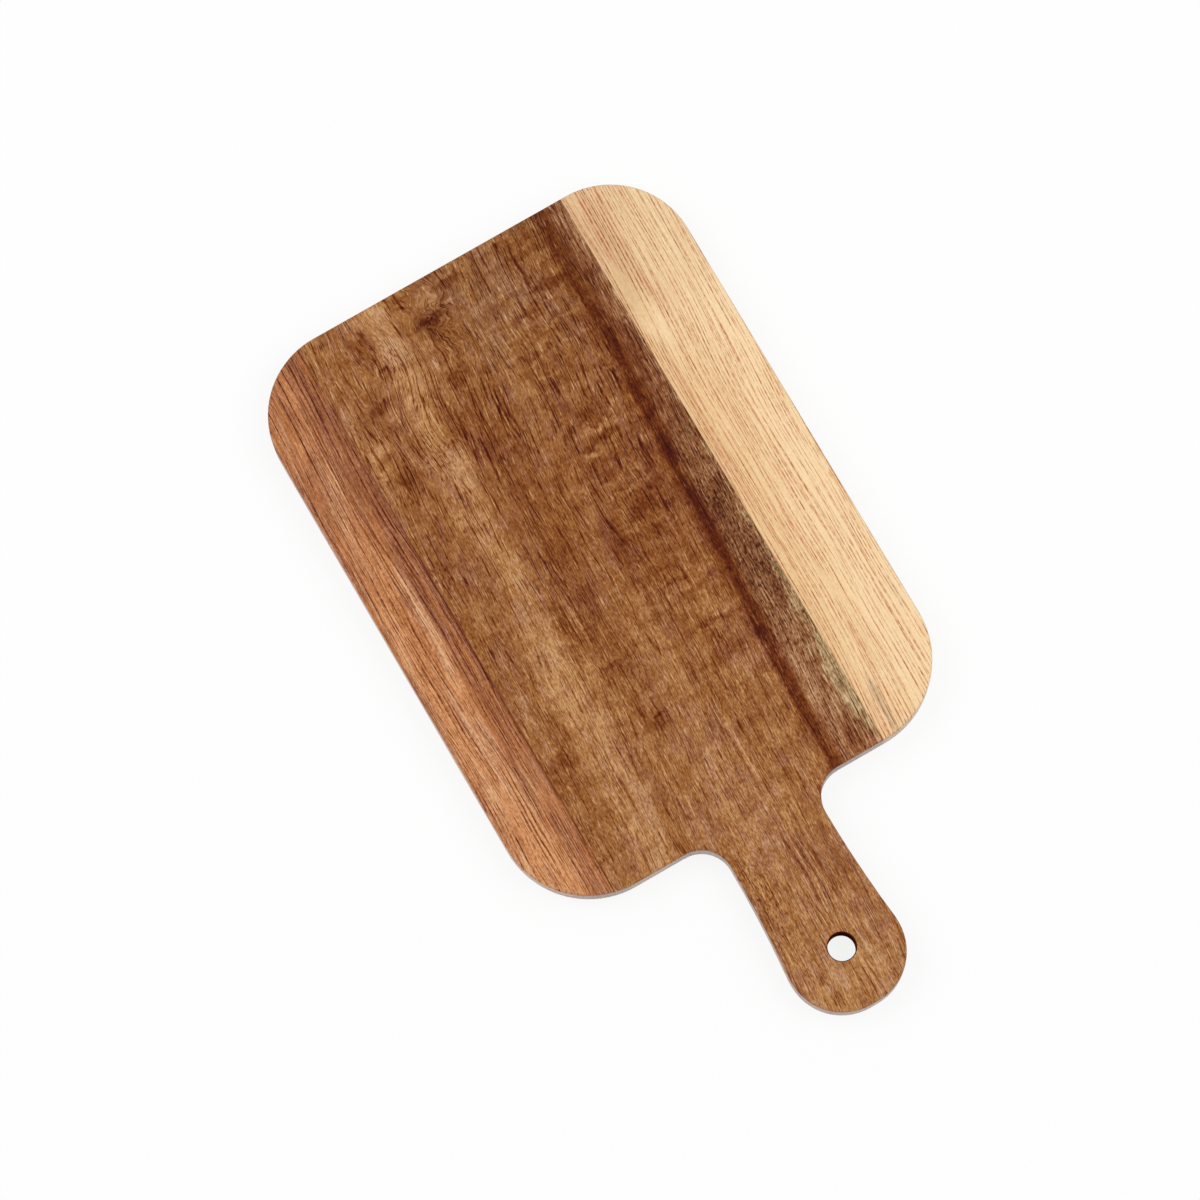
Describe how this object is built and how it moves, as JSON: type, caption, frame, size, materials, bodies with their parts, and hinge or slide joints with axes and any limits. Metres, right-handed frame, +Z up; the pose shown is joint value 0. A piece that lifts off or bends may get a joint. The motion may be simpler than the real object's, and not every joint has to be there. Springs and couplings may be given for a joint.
{
  "type": "paddle charcuterie board",
  "caption": "Paddle-shaped wooden serving board with a rounded rectangular blade, a waisted handle with a round end and a hanging hole, glued up from staves of different colours.",
  "frame": {"origin": "middle of the board's outline box, on the face that it lies on", "axes": "+Y along the board from the handle to the far end, +X across it to the pale stave, +Z up out of the serving face"},
  "size_m": [0.2, 0.364, 0.012],
  "materials": {
    "red_heartwood": "oiled satin",
    "brown_heartwood": "oiled satin",
    "sapwood": "oiled satin",
    "glue": "cured wood glue"
  },
  "bodies": {
    "root": {"left_stave": "red_heartwood", "left_glue_line": "glue", "centre_stave": "brown_heartwood", "right_glue_line": "glue", "right_stave": "sapwood"}
  },
  "joints": []
}
